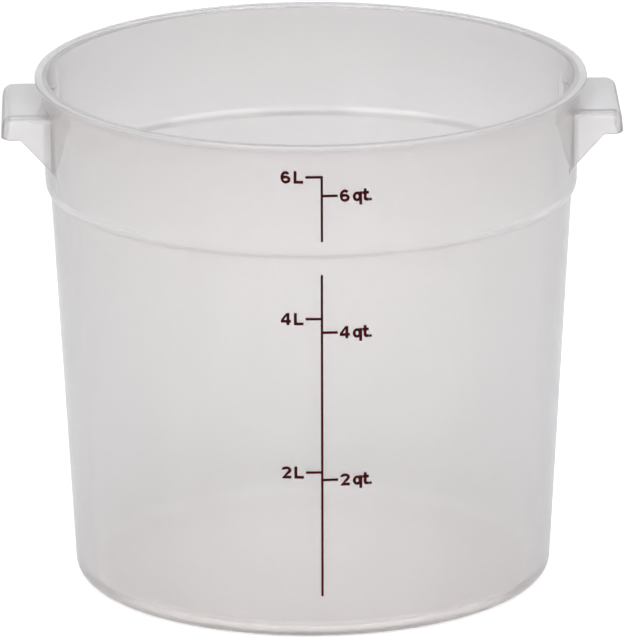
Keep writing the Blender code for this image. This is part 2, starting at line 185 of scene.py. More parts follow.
class PlasticFinish(PropertyGroup):
    """Finish of the milky polypropylene."""

    clear: color("Thin tint", "Colour where the plastic is clearest", (0.918, 0.899, 0.889))
    cloudy: color("Cloudy tint", "Colour where the plastic is milkiest", (0.900, 0.880, 0.871))
    # Painted shade: the upper tint and the two heights below make the plastic greyer towards the
    # rim, so that the collar's top, the lip and the handles look shaded
    upper: color("Upper tint", "Colour of the plastic at the rim", (0.862, 0.838, 0.832))
    painted_shade_from: length("Upper tint from", "Height at which it sets in", 168.0)
    painted_shade_to: length("Upper tint to", "Height at which it is reached", 200.0)
    see_through: share("See-through", "Share of the light that passes the surface", 0.75)
    roughness_low: share("Roughness, polished", "Roughness at its smoothest", 0.11)
    roughness_high: share("Roughness, dull", "Roughness at its dullest", 0.17)
    refraction: number("Refraction", "Index of refraction of polypropylene", 1.49)
    cloud_scale: number("Cloud scale", "Clouds per metre", 16.0)
    streak_scale: number("Streak scale", "Flow streaks per metre across the wall", 110.0)
    grain_scale: number("Grain scale", "Grains of the matt finish per metre", 1500.0)
    grain_depth: number("Grain depth", "Strength of the grain's bump", 0.06)
    wave_scale: number("Wave scale", "Slow waves of the wall per metre", 22.0)
    wave_depth: number("Wave depth", "Strength of the waves' bump", 0.05)


class InkFinish(PropertyGroup):
    """Finish of the printed ink."""

    dark: color("Ink, dark", "Colour where the ink lies thick", (0.026, 0.0012, 0.0014))
    light: color("Ink, thin", "Colour where the ink lies thin", (0.048, 0.0026, 0.0028))
    roughness: share("Roughness", "Roughness of the dry ink", 0.55)
    sheen_level: share("Specular level", "How much the dry ink shines", 0.06)
    mesh_scale: number("Screen mesh", "Threads of the printing screen per metre", 3500.0)
    patch_scale: number("Patches", "Thin and thick patches per metre", 420.0)


class StageSetup(PropertyGroup):
    """Floor, light and camera."""

    floor_color: color("Floor colour", "Colour of the floor", (0.85, 0.85, 0.85))
    floor_size: length("Floor size", "Half the side of the floor", 12000.0)
    floor_gap: length("Floor gap", "From the tub's foot down to the floor", 0.3)
    floor_glow: number("Floor glow", "Light added to the floor for the camera", 0.55)
    floor_through: number("Floor glow, through", "The same for rays through or off plastic", 0.185)
    floor_under: number("Floor glow, below", "The same for those rays below the tub", 0.56)
    under_tint: color("Tint below", "Colour of that light below the tub", (1.0, 0.90, 0.87))
    ambient: number("Ambient", "Strength of the surroundings' light on the object", 0.25)
    backdrop: number("Backdrop", "Their strength through or off plastic", 0.80)
    overhead: number("Backdrop, overhead", "The same high up, for rays through plastic", 0.50)
    overhead_from: share("Overhead from", "Sine of the angle of rise at which it sets in", 0.08)
    overhead_to: share("Overhead to", "Sine of the angle of rise at which it is reached", 0.30)
    key: number("Key light", "Power of the light at the front left, in watts", 11.4)
    fill: number("Fill light", "Power of the light at the front right, in watts", 8.2)
    front: number("Front light", "Power of the light high in front, in watts", 6.2)
    top: number("Top light", "Power of the light overhead, in watts", 10.8)
    front_tint: color("Front tint", "Colour of the three lights in front", (1.0, 0.942, 0.930))
    top_tint: color("Top tint", "Colour of the light overhead", (0.78, 0.90, 1.0))
    azimuth: angle("Azimuth", "Camera's turn from the front, towards +X", -1.3)
    elevation: angle("Elevation", "Camera's angle above the horizon", 16.78)
    roll: angle("Roll", "Camera's turn about its line of sight", -0.27502)
    distance: length("Distance", "From the camera to the point it looks at", 4000.0)
    aim_height: length("Aim height", "Height of the point it looks at", 104.2)
    lens: number("Focal length", "Focal length in millimetres", 555.5)
    shift: number("Shift", "Sideways shift of the picture", 0.00178)


# Surfaces


def unit(vectors):
    """Each vector over its length: v / |v|."""
    return vectors / np.linalg.norm(vectors, axis=-1, keepdims=True)


def corner_arc(before, corner, after, radius, steps):
    """Points of the arc of radius r that touches both sides of a corner.

    With a and b the unit directions from the corner to its neighbours and h half the angle
    between them, the arc touches at corner + a r / tan h and corner + b r / tan h, and its
    centre is c = corner + unit(a + b) r / sin h. With p and q the unit directions from c to the
    touching points and w the angle between them, the arc is
    c + r (p sin((1 - t) w) + q sin(t w)) / sin w, t = 0...1. Half a step of straight side before
    and after it keeps the shading of the long faces there.
    """
    to_before, to_after = unit(before - corner), unit(after - corner)
    half = math.acos(np.clip(to_before @ to_after, -1, 1)) / 2
    reach = radius / math.tan(half)
    centre = corner + unit(to_before + to_after) * radius / math.sin(half)
    first = unit(corner + to_before * reach - centre)
    last = unit(corner + to_after * reach - centre)
    sweep = math.acos(np.clip(first @ last, -1, 1))
    part = np.linspace(0, 1, steps + 1)[:, None]
    arc = (first * np.sin((1 - part) * sweep) + last * np.sin(part * sweep)) / math.sin(sweep)
    guard = radius * sweep / steps / 2
    ends = corner + np.array([to_before, to_after]) * (reach + guard)
    return np.vstack([ends[:1], centre + arc * radius, ends[1:]])


def rounded_profile(corners, steps):
    """The outline through (radius, height, round) corners, each corner rounded by its arc."""
    places = np.array([corner[:2] for corner in corners], float)
    runs = [places[:1]]
    for index in range(1, len(corners) - 1):
        size = corners[index][2]
        around = places[index - 1 : index + 2]
        runs.append(corner_arc(*around, size, steps) if size else places[index : index + 1])
    return np.vstack(runs + [places[-1:]])


def closed_mesh(name, grid):
    """A closed mesh from a grid that wraps in u and shrinks to a pole or spine at each end of v."""
    around, along = grid.shape[:2]
    index = np.arange(around * along).reshape(around, along)
    following = np.roll(index, -1, axis=0)
    quads = np.stack([index[:, :-1], following[:, :-1], following[:, 1:], index[:, 1:]], axis=-1)
    mesh = bpy.data.meshes.new(name)
    mesh.from_pydata(grid.reshape(-1, 3).tolist(), [], quads.reshape(-1, 4).tolist())
    shell = bmesh.new()
    shell.from_mesh(mesh)
    bmesh.ops.remove_doubles(shell, verts=shell.verts, dist=WELD)
    bmesh.ops.dissolve_degenerate(shell, edges=shell.edges, dist=WELD)
    bmesh.ops.recalc_face_normals(shell, faces=shell.faces)
    shell.to_mesh(mesh)
    shell.free()
    return mesh


def points_of(mesh):
    """The mesh's points, one row each."""
    points = np.empty(len(mesh.vertices) * 3)
    mesh.vertices.foreach_get("co", points)
    return points.reshape(-1, 3)


def moved(mesh, points):
    """The mesh with its points at new places."""
    mesh.vertices.foreach_set("co", points.ravel())
    mesh.update()
    return mesh


def add_object(name, data):
    """A new object at the origin of the scene."""
    obj = bpy.data.objects.new(name, data)
    bpy.context.scene.collection.objects.link(obj)
    return obj


def applied(obj):
    """The object's mesh with its modifiers carried out."""
    bpy.context.view_layer.update()
    graph = bpy.context.evaluated_depsgraph_get()
    return bpy.data.meshes.new_from_object(obj.evaluated_get(graph))


def combine(name, mesh, steps):
    """Carries out exact unions and differences, one after the other, and returns the mesh."""
    base = add_object(name, mesh)
    helpers = []
    for operation, other in steps:
        helper = add_object(name + "_" + operation.lower(), other)
        modifier = base.modifiers.new(operation.lower(), "BOOLEAN")
        modifier.operation = operation
        modifier.solver = "EXACT"
        modifier.object = helper
        helpers.append(helper)
    result = applied(base)
    for obj in [base] + helpers:
        bpy.data.objects.remove(obj, do_unlink=True)
    return result


def open_edges(mesh):
    """How many edges don't join exactly two faces."""
    sides = np.empty(len(mesh.loops), np.intc)
    mesh.loops.foreach_get("edge_index", sides)
    return np.count_nonzero(np.bincount(sides, minlength=len(mesh.edges)) != 2)


# Tub


def collar_foot(tub):
    """Outer radius at the collar's foot."""
    return tub.rim_radius - tub.lip_overhang - tub.collar_draft


def shoulder_top(tub):
    """Height of the collar's foot."""
    return tub.height - tub.collar_depth


def shoulder_foot(tub):
    """Height of the tapered wall's head, below the shoulder's slope."""
    return shoulder_top(tub) - tub.shoulder_drop


def wall_top(tub):
    """Outer radius at the tapered wall's head."""
    return collar_foot(tub) - tub.shoulder_step


def collar_radius(tub, height):
    """Outer radius of the collar at a height z: a straight line from its foot to its top."""
    part = (height - shoulder_top(tub)) / tub.collar_depth
    return collar_foot(tub) + tub.collar_draft * part


def wall_radius(tub, height):
    """Outer radius of the tapered wall at a height z: a straight line from foot to shoulder."""
    return wall_top(tub) - tub.wall_draft * (1 - height / shoulder_foot(tub))


def turned(name, corners, tub):
    """A rounded outline (r, z)(v) turned round Z: (r cos u, r sin u, z), u = 0...2 pi."""
    radius, height = rounded_profile(corners, tub.round_steps).T
    turn = np.linspace(0, 2 * np.pi, tub.turn_steps, endpoint=False)[:, None]
    grid = np.broadcast_arrays(np.cos(turn) * radius, np.sin(turn) * radius, height)
    return closed_mesh(name, np.stack(grid, axis=-1))


def tub_outside(tub):
    """The tub as if it were solid: lip, collar, shoulder, tapered wall and foot."""
    lip_foot = tub.height - tub.lip_thickness
    wall_foot = wall_radius(tub, 0)
    ring = wall_foot - tub.base_round - tub.foot_width
    slope = tub.foot_height
    edge = slope / 2
    corners = [
        (0, tub.height, 0),
        (tub.rim_radius, tub.height, tub.lip_round),
        (tub.rim_radius, lip_foot, tub.lip_round),
        (collar_radius(tub, lip_foot), lip_foot, tub.lip_round),
        (collar_foot(tub), shoulder_top(tub) - tub.shoulder_lead, tub.shoulder_round),
        (wall_top(tub), shoulder_foot(tub) + tub.shoulder_tuck, tub.shoulder_nook),
        (wall_foot, 0, tub.base_round),
        (ring, 0, edge),
        (ring - slope, slope, edge),
        (0, slope, 0),
    ]
    return turned("tub_outside", corners, tub)


def tub_inside(tub):
    """The hollow: collar and wall inside, a low ledge between them, and the gate's mark below.

    The mouth's round is two corners, which are rounded in turn.
    """
    above = tub.height + tub.collar_depth
    ledge_top, ledge_foot = shoulder_top(tub) + tub.ledge_lift, shoulder_foot(tub) + tub.ledge_lift
    mouth = collar_radius(tub, tub.height) - tub.wall_thickness
    floor = tub.foot_height + tub.floor_thickness
    soft = tub.gate_height / 2
    wide = mouth + tub.mouth_round
    upper, lower = tub.mouth_round / 4, tub.mouth_round / 2
    half_way = wide - tub.mouth_round * math.sin(QUARTER / 2)
    corners = [
        (0, above, 0),
        (wide, above, 0),
        (wide, tub.height, 0),
        (half_way, tub.height - upper, upper),
        (mouth, tub.height - tub.mouth_round, lower),
        (collar_foot(tub) - tub.wall_thickness - tub.collar_swell, ledge_top, tub.ledge_round),
        (wall_radius(tub, ledge_foot) - tub.wall_thickness, ledge_foot, tub.ledge_round),
        (wall_radius(tub, floor) - tub.wall_thickness, floor, tub.floor_round),
        (tub.gate_radius + tub.gate_height, floor, soft),
        (tub.gate_radius, floor + tub.gate_height, soft),
        (0, floor + tub.gate_height, 0),
    ]
    return turned("tub_inside", corners, tub)


def plan_outline(root, end, half_width, corner, flare, stop, steps):
    """A handle's outline seen from above, its outward direction n and the spine below each point.

    With a hollow round of radius F it starts as (root + F - F cos t, -w - F + F sin t) with
    n = (cos t, -sin t), t = 0...90 degrees. It goes on along y = -w, round the corner
    (end - R + R cos t, R - w + R sin t) with n = (cos t, sin t), t = -90...0 degrees, across the
    end, and back on the far side. The spine, to which the flat faces close, is the point (x, 0)
    with x kept between root + R and the stop. A hollow round has a point before it, at
    x = root - R - F, which stays in place (n = 0), and its spine is at x = root - R - F / 2.
    """
    guard = corner / steps
    start = root + flare
    tip = np.linspace(stop, end - corner - guard, steps // 2)[1:]
    side = np.concatenate([np.linspace(start + guard, stop, steps), tip])
    front = np.stack([side, np.full(len(side), -half_width)], axis=-1)
    turn = np.linspace(-QUARTER, 0, steps + 1)
    heading = np.stack([np.cos(turn), np.sin(turn)], axis=-1)
    bend = np.array([end - corner, corner - half_width]) + corner * heading
    away = heading[::-1]
    sweep = np.array([start, -half_width - flare]) - flare * away
    if flare:
        sweep = np.vstack([[[root - corner - flare, -half_width - flare]], sweep])
        away = np.vstack([[[0.0, 0.0]], away])
    else:
        sweep, away = sweep[-1:], away[-1:]
    quarter = np.vstack([sweep, front, bend, [[end, corner + guard - half_width]]])
    out = np.vstack([away, np.tile([[0.0, -1.0]], (len(side), 1)), heading, [[1.0, 0.0]]])
    mirror = np.array([1.0, -1.0])
    outline = np.vstack([quarter, (quarter * mirror)[::-1]])
    outward = np.vstack([out, (out * mirror)[::-1]])
    middle = np.clip(outline[:, 0], root + corner, stop)
    if flare:
        middle[: len(sweep)] = middle[-len(sweep) :] = root - corner - flare / 2
    return outline, outward, np.stack([middle, np.zeros(len(outline))], axis=-1)


def block_grid(root, end, half_width, corner, flare, top, edge, foot, stop, slope, floor_at, steps):
    """A block along +X with a rounded top edge, drafted sides and a foot at z = floor_at(x).

    With p(u) the plan outline, n(u) its outward direction and g(z) = slope (level foot - z) the
    draft, the side is P(u, z) = (p + n g(z), z). The top edge of radius E is
    P = (p + n (g(z) - E (1 - cos t)), top - E + E sin t), t = 0...90 degrees, and the foot's
    edge of radius F is the same upside down. Both ends close to the spine. The faces beside an
    edge start a little beyond its round, so that they keep their own shading.
    """
    top_guard_share, foot_inset_share, foot_guard_share = 1.05, 1.2, 1.3
    outline, outward, spine = plan_outline(root, end, half_width, corner, flare, stop, steps)
    level = floor_at(np.array([end]))[0]
    foot_z, spine_z = floor_at(outline[:, 0]), floor_at(spine[:, 0])
    turn = np.linspace(0, QUARTER, steps + 1)
    rows = [np.column_stack([spine, spine_z])]

    def row(inset, height):
        grown = slope * (level - height) - inset
        return np.column_stack([outline + outward * np.reshape(grown, (-1, 1)), height])

    def foot_row(inset, lift):
        low = row(inset, foot_z)
        low[:, 2] = floor_at(low[:, 0]) + lift
        return low

    full = np.ones(len(outline))
    if foot:
        rows.append(foot_row(foot * foot_inset_share, 0))
        for part in turn[::-2]:
            rows.append(foot_row(foot * (1 - math.cos(part)), foot * (1 - math.sin(part))))
        rows.append(foot_row(0, foot * foot_guard_share))
    else:
        rows.append(foot_row(0, 0))
    rows.append(row(0, full * (top - edge * top_guard_share)))
    for part in turn:
        rows.append(row(edge * (1 - math.cos(part)), full * (top - edge + edge * math.sin(part))))
    rows.append(row(edge * top_guard_share, full * top))
    rows.append(np.column_stack([spine, full * top]))
    return np.stack(rows, axis=1)


def handle_mesh(tub, handle):
    """One hollow handle along +X: the drafted block, less the pocket that is open below."""
    pocket_depth_share = 3
    half = handle.width / 2
    root = math.sqrt((collar_foot(tub) - handle.draft) ** 2 - (half + handle.flare) ** 2)
    top = tub.height - handle.drop
    skirt_foot = top - handle.skirt
    gusset_start = HANDLE_END - handle.gusset_set_back
    gusset_end = collar_radius(tub, skirt_foot)
    fall = handle.gusset_drop / (gusset_start - gusset_end)

    def gusset(across):
        return skirt_foot - fall * np.maximum(gusset_start - across, 0)

    def deep(across):
        return np.full(len(across), skirt_foot - pocket_depth_share * handle.gusset_drop)

    block = block_grid(
        root=root, end=HANDLE_END, half_width=half, corner=handle.corner_round, flare=handle.flare,
        top=top, edge=handle.edge_round, foot=handle.foot_round, stop=gusset_start,
        slope=handle.draft / handle.skirt, floor_at=gusset, steps=handle.side_steps,
    )
    pocket = block_grid(
        root=root - tub.wall_thickness, end=HANDLE_END - handle.wall, half_width=half - handle.wall,
        corner=max(handle.pocket_round, handle.corner_round - handle.wall), flare=0,
        top=top - handle.top_wall, edge=handle.pocket_round, foot=0, stop=gusset_start,
        slope=0, floor_at=deep, steps=handle.side_steps,
    )
    hollow = closed_mesh("handle_pocket", pocket)
    return combine("handle", closed_mesh("handle_block", block), [("DIFFERENCE", hollow)])


def turned_half(mesh):
    """A copy turned half a turn round Z: (x, y, z) to (-x, -y, z)."""
    return moved(mesh.copy(), points_of(mesh) * (-1.0, -1.0, 1.0))


# Printed scale


def ellipse_arc(centre, radii, start, end, steps=64, fewest=3):
    """(cx + a cos t, cy + b sin t) from start to end in degrees, with the steps of a full turn."""
    points = max(fewest, round(steps * abs(end - start) / 360) + 1)
    turn = np.radians(np.linspace(start, end, points))
    return np.array(centre) + np.array(radii) * np.stack([np.cos(turn), np.sin(turn)], axis=-1)


def bowl_hole(bowl, stroke):
    """The ellipse a stroke's width inside a bowl that touches both axes."""
    return ellipse_arc(bowl, (bowl[0] - stroke, bowl[1] - stroke), 0, 360)[:-1]


def six(ink):
    """A full-height curl that runs into a round bowl."""
    bowl_share = 0.64
    tip, foot, meet, neck = 42, 270, 472, 155
    width, height, stroke = ink.digit_width, ink.digit_height, ink.stroke
    curl = (width / 2, height / 2)
    inner = (curl[0] - stroke, curl[1] - stroke)
    bowl = (width / 2, height * bowl_share / 2)
    outline = [
        ellipse_arc(curl, curl, tip, foot),
        ellipse_arc(bowl, bowl, foot, meet)[1:],
        ellipse_arc(curl, inner, neck, tip),
    ]
    return [np.vstack(outline), bowl_hole(bowl, stroke)]


def four(ink):
    """An upright with a crossbar, and a slanted arm that closes a triangle."""
    bar_share, stem_share, slant_share, hole_share = 0.20, 0.56, 0.30, 0.74
    width, height = ink.digit_width, ink.digit_height
    low = height * bar_share
    high = low + ink.stroke
    left = width * stem_share
    right = left + ink.stroke
    outline = [(left, 0), (right, 0), (right, low), (width, low), (width, high), (right, high)]
    outline += [(right, height), (left, height), (0, high), (0, low), (left, low)]
    triangle = [(width * slant_share, high), (left, high), (left, height * hole_share)]
    return [np.array(outline), np.array(triangle)]


def two(ink):
    """A hooked arc, a slanted stroke and a flat foot."""
    head_share, foot_share = 0.31, 0.50
    hook, slant = 172, -38
    width, height, stroke = ink.digit_width, ink.digit_height, ink.stroke
    head = (width / 2, height * (1 - head_share))
    outer = (width / 2, height * head_share)
    inner = (outer[0] - stroke, outer[1] - stroke)
    foot = [(width * foot_share, stroke), (width, stroke), (width, 0), (0, 0)]
    outline = [ellipse_arc(head, outer, hook, slant), foot, ellipse_arc(head, inner, slant, hook)]
    return [np.vstack(outline)]


def capital_l(ink):
    """An upright with a flat foot."""
    wide, high, stroke = ink.capital_width, ink.digit_height, ink.stroke
    outline = [(0, 0), (wide, 0), (wide, stroke), (stroke, stroke), (stroke, high), (0, high)]
    return [np.array(outline)]


def small_q(ink):
    """A bowl on the left of an upright that drops below the line."""
    clear_share = 0.25
    wide, high, stroke = ink.q_width, ink.small_height, ink.stroke
    bowl = ((wide - stroke * clear_share) / 2, high / 2)
    stem = wide - stroke
    meet = math.degrees(math.acos((stem - bowl[0]) / bowl[0]))
    upright = [(stem, -ink.q_tail), (wide, -ink.q_tail), (wide, high), (stem, high)]
    outline = np.vstack([upright, ellipse_arc(bowl, bowl, meet, 360 - meet)])
    return [outline, bowl_hole(bowl, stroke)]


def small_t(ink):
    """An upright with a crossbar and a foot that curls to the right."""
    stem_share = 0.20
    wide, high, top, stroke = ink.t_width, ink.small_height, ink.t_height, ink.stroke
    left = wide * stem_share
    right = left + stroke
    curl = (wide - right) / 2
    bar = high - stroke
    outline = [
        [(left, top), (left, high), (0, high), (0, bar), (left, bar)],
        ellipse_arc((right, stroke), (stroke, stroke), 180, 270),
        [(wide, 0), (wide, stroke)],
        ellipse_arc((right + curl, stroke + curl), (curl, curl), 270, 180),
        [(right, bar), (wide, bar), (wide, high), (right, high), (right, top)],
    ]
    return [np.vstack(outline)]


def full_point(ink):
    """A square."""
    size = ink.point_size
    return [np.array([(0, 0), (size, 0), (size, size), (0, size)])]


def tick_side(side, heights, reach, ink):
    """One side of a scale line from its foot to its head, stepping out along each tick."""
    edge, half = ink.line_width / 2, ink.tick_width / 2
    steps = np.array([(edge, -half), (edge + reach, -half), (edge + reach, half), (edge, half)])
    return np.vstack([steps * (side, 1) + (0, height) for height in heights])


def scale_line(foot, head, litres, quarts, ink):
    """Outline of an upright line with litre ticks on its left and quart ticks on its right."""
    edge = ink.line_width / 2
    right = tick_side(1, quarts, ink.quart_tick, ink)
    left = tick_side(-1, litres, ink.litre_tick, ink)[::-1]
    outline = np.vstack([[(-edge, foot), (edge, foot)], right, [(edge, head), (-edge, head)], left])
    apart = np.linalg.norm(outline - np.roll(outline, 1, axis=0), axis=1) > WELD
    return [outline[apart]]


def ink_corners(loop, radius):
    """Rounds off sharp corners, as wet ink does.

    A corner c with unit directions a and b to its neighbours becomes c + r a, c + s r (a + b) and
    c + r b, where r is at most a third of the shorter side and s puts the middle point on a round.
    Corners that turn less than about 25 degrees stay as they are.
    """
    reach_share, middle_share = 1 / 3, 0.29
    widest_cosine = -0.9
    before, after = np.roll(loop, 1, axis=0) - loop, np.roll(loop, -1, axis=0) - loop
    short = np.minimum(np.linalg.norm(before, axis=1), np.linalg.norm(after, axis=1))
    reach = np.minimum(radius, short * reach_share)[:, None]
    a, b = unit(before), unit(after)
    sharp = (a * b).sum(axis=1) > widest_cosine
    middle = loop + (a + b) * reach * middle_share
    three = np.stack([loop + a * reach, middle, loop + b * reach], axis=1)
    three[~sharp] = loop[~sharp][:, None]
    keep = np.stack([sharp, np.ones_like(sharp), sharp], axis=1)
    return three[keep]


def flat_film(name, loops, thickness, slice_width):
    """A closed plate from outlines in the XY plane, cut into slices along Y so that it can bend."""
    curve = bpy.data.curves.new(name, "CURVE")
    curve.dimensions = "2D"
    curve.fill_mode = "BOTH"
    curve.extrude = thickness / 2
    for loop in loops:
        spline = curve.splines.new("POLY")
        spline.points.add(len(loop) - 1)
        spline.use_cyclic_u = True
        flat = np.column_stack([loop, np.zeros(len(loop)), np.ones(len(loop))])
        spline.points.foreach_set("co", flat.ravel())
    holder = add_object(name, curve)
    mesh = applied(holder)
    bpy.data.objects.remove(holder, do_unlink=True)
    bpy.data.curves.remove(curve)
    shell = bmesh.new()
    shell.from_mesh(mesh)
    bmesh.ops.remove_doubles(shell, verts=shell.verts, dist=WELD)
    across = np.concatenate([loop[:, 0] for loop in loops])
    for cut in np.arange(across.min(), across.max(), slice_width)[1:]:
        everything = shell.verts[:] + shell.edges[:] + shell.faces[:]
        bmesh.ops.bisect_plane(
            shell, geom=everything, dist=WELD / 2, plane_co=(cut, 0, 0), plane_no=(1, 0, 0)
        )
    bmesh.ops.triangulate(shell, faces=shell.faces)
    bmesh.ops.recalc_face_normals(shell, faces=shell.faces)
    shell.to_mesh(mesh)
    shell.free()
    mesh.name = name
    return mesh


def print_film(node, loops, across, up, radius_at, ink, material):
    """Prints an outline on the wall in place of its CAD node.

    A point (x, y, z) of the flat film goes to the height h = up + y, the angle
    turn + (across + x) / R(h) and the radius R(h) + middle + z, with R(h) the wall's radius and
    the middle that of the film's sunk back and raised front.
    """
    loops = [ink_corners(loop, ink.corner_round) for loop in loops]
    mesh = flat_film("print_" + node, loops, ink.film_rise + ink.film_sink, ink.slice_width)
    points = points_of(mesh)
    height = up + points[:, 1]
    turn = ink.turn + (across + points[:, 0]) / radius_at(height)
    radius = radius_at(height) + (ink.film_rise - ink.film_sink) / 2 + points[:, 2]
    bent = np.column_stack([radius * np.sin(turn), -radius * np.cos(turn), height])
    film = add_object("print_" + node, moved(mesh, bent))
    film.data.materials.append(material)
    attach(film, BODY)
    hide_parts(node)


DIGITS = {"6": six, "4": four, "2": two}


def litre_signs(digit, ink):
    """Where the label on the left of a tick starts, and its signs: a number and a capital L."""
    signs = [
        ("number", DIGITS[digit], ink.digit_width + ink.word_gap),
        ("letter_l", capital_l, ink.capital_width),
    ]
    width = sum(advance for _, _, advance in signs)
    return -ink.line_width / 2 - ink.litre_tick - ink.label_gap - width, signs


def quart_signs(digit, ink):
    """Where the label on the right of a tick starts, and its signs: a number, q, t and a point."""
    signs = [
        ("number", DIGITS[digit], ink.digit_width + ink.word_gap),
        ("letter_q", small_q, ink.q_width + ink.letter_gap),
        ("letter_t", small_t, ink.t_width + ink.letter_gap),
        ("point", full_point, ink.point_size),
    ]
    return ink.line_width / 2 + ink.quart_tick + ink.label_gap, signs


# Ends and ticks of each scale line, as shares of the collar's depth or of the wall's height
COLLAR_SHARES = {"ends": (0.089, 0.703), "litre": {"6": 0.703}, "quart": {"6": 0.525}}
WALL_SHARES = {
    "ends": (0.116, 0.960),
    "litre": {"2": 0.4436, "4": 0.8458},
    "quart": {"2": 0.4236, "4": 0.8100},
}
SIGNS = {"litre": litre_signs, "quart": quart_signs}


def print_line(node, shares, low, span, radius_at, ink, material):
    """A scale line and its ticks' labels, at shares of a span above a low height.

    The line reaches at least to the upper edge of its highest litre tick.
    """
    ticks = {
        measure: {digit: low + span * part for digit, part in shares[measure].items()}
        for measure in SIGNS
    }
    foot, head = (low + span * part for part in shares["ends"])
    litres, quarts = (list(heights.values()) for heights in ticks.values())
    outline = scale_line(foot, max(head, max(litres) + ink.tick_width / 2), litres, quarts, ink)
    print_film(node, outline, 0, 0, radius_at, ink, material)
    for measure, heights in ticks.items():
        for digit, height in heights.items():
            across, signs = SIGNS[measure](digit, ink)
            up = height - ink.baseline_drop
            for sign, outline, advance in signs:
                name = f"{measure}_{digit}_{sign}"
                print_film(name, outline(ink), across, up, radius_at, ink, material)
                across += advance


# Materials


class Nodes:
    """Adds and joins the nodes of one material or world."""

    def __init__(self, tree):
        self.tree = tree

    def feed(self, socket, value):
        """Joins an input to another node's output, or sets it to a value."""
        if isinstance(value, bpy.types.NodeSocket):
            self.tree.links.new(value, socket)
        else:
            socket.default_value = value

    def add(self, kind, *values, settings=None, **inputs):
        """A shader node of a kind, with its inputs fed in order or by name."""
        node = self.tree.nodes.new("ShaderNode" + kind)
        for name, value in (settings or {}).items():
            setattr(node, name, value)
        for socket, value in zip(node.inputs, values):
            self.feed(socket, value)
        for name, value in inputs.items():
            self.feed(node.inputs[name.replace("_", " ")], value)
        return node

    def work_out(self, operation, first, second):
        """What an operation makes of two numbers or sockets."""
        return self.add("Math", first, second, settings={"operation": operation}).outputs[0]


# Where the values of a noise mostly lie, those of the sum of two, and both states of a switch
NOISE_RANGE = (0.3, 0.7)
SUM_RANGE = (0.75, 1.25)
SWITCH = (0.0, 1.0)

# Patterns: the streaks' scale along Z over that across, the height of each bump in metres, the
# strength of the ink's weave, and the scale and the darker shade of the floor's patches
STREAK_SHARES = (1.0, 1.0, 0.05)
WAVE_HEIGHT, GRAIN_HEIGHT, WEAVE_HEIGHT = 0.002, 0.0001, 0.00003
WEAVE_DEPTH = 0.15
FLOOR_SCALE, FLOOR_SHADE_SHARE = 3.0, 0.99

# The glow below the tub fades between these shares of the foot's radius
UNDER_SHARES = (0.96, 1.02)


def new_material(name):
    """A new material, what adds its nodes, and the place on the object in metres."""
    material = bpy.data.materials.new(name)
    material.use_nodes = True
    material.node_tree.nodes.clear()
    nodes = Nodes(material.node_tree)
    return material, nodes, nodes.add("TexCoord").outputs["Object"]


def noise(nodes, vector, scale, detail, roughness=0.5):
    """Noise from 0 to 1 round 0.5, scale bumps per metre."""
    form = {"Scale": scale, "Detail": detail, "Roughness": roughness}
    return nodes.add("TexNoise", Vector=vector, **form).outputs["Fac"]


def spread(nodes, value, low, high, span=NOISE_RANGE):
    """Maps the span's two ends to low and high, without running past either."""
    limits = {"From_Min": span[0], "From_Max": span[1], "To_Min": low, "To_Max": high}
    return nodes.add("MapRange", settings={"clamp": True}, Value=value, **limits).outputs["Result"]


def tinted(nodes, factor, first, second):
    """A colour between two colours or colour sockets, by a factor from 0 to 1."""
    node = nodes.add("Mix", settings={"data_type": "RGBA"}, Factor=factor)
    colors = [socket for socket in node.inputs if socket.type == "RGBA"]
    for socket, value in zip(colors, (first, second)):
        nodes.feed(socket, value if isinstance(value, bpy.types.NodeSocket) else (*value, 1.0))
    return next(socket for socket in node.outputs if socket.type == "RGBA")


def bumped(nodes, height, strength, distance, **normal):
    """The normal of a surface raised by a height, which is in metres at full strength."""
    bump = nodes.add("Bump", Height=height, Strength=strength, Distance=distance, **normal)
    return bump.outputs["Normal"]


def plastic_material(finish):
    """Milky polypropylene, turned greyer towards the rim as painted shade.

    Clouds and flow streaks vary the tint, and a fine moulded grain and slow waves the surface.
    """
    material, nodes, place = new_material("milky_polypropylene_moulded")
    clouds = noise(nodes, place, finish.cloud_scale, detail=3.0)
    along = nodes.add("Mapping", Vector=place, Scale=STREAK_SHARES).outputs["Vector"]
    streaks = noise(nodes, along, finish.streak_scale, detail=2.0)
    milk = spread(nodes, nodes.work_out("ADD", clouds, streaks), 0.0, 1.0, SUM_RANGE)
    tint = tinted(nodes, milk, finish.clear, finish.cloudy)
    # Painted shade: between two heights the tint turns to the greyer upper tint, darkening the
    # collar's top, the lip and the handles
    height = nodes.add("SeparateXYZ", Vector=place).outputs["Z"]
    upper = spread(nodes, height, 0.0, 1.0, (finish.painted_shade_from, finish.painted_shade_to))
    grain = noise(nodes, place, finish.grain_scale, detail=2.0, roughness=0.6)
    waves = noise(nodes, place, finish.wave_scale, detail=1.0, roughness=0.3)
    slow = bumped(nodes, waves, finish.wave_depth, WAVE_HEIGHT)
    shader = nodes.add(
        "BsdfPrincipled",
        Base_Color=tinted(nodes, upper, tint, finish.upper),
        Roughness=spread(nodes, grain, finish.roughness_low, finish.roughness_high),
        IOR=finish.refraction,
        Transmission_Weight=finish.see_through,
        Normal=bumped(nodes, grain, finish.grain_depth, GRAIN_HEIGHT, Normal=slow),
    )
    nodes.add("OutputMaterial", Surface=shader.outputs["BSDF"])
    return material


def ink_material(finish):
    """Dry screen ink: thin and thick patches, and the faint weave of the printing screen."""
    material, nodes, place = new_material("maroon_screen_ink")
    patches = spread(nodes, noise(nodes, place, finish.patch_scale, detail=3.0), 0.0, 1.0)
    weave = noise(nodes, place, finish.mesh_scale, detail=1.0)
    shader = nodes.add(
        "BsdfPrincipled",
        Base_Color=tinted(nodes, patches, finish.dark, finish.light),
        Roughness=finish.roughness,
        Specular_IOR_Level=finish.sheen_level,
        Normal=bumped(nodes, weave, WEAVE_DEPTH, WEAVE_HEIGHT),
    )
    nodes.add("OutputMaterial", Surface=shader.outputs["BSDF"])
    return material


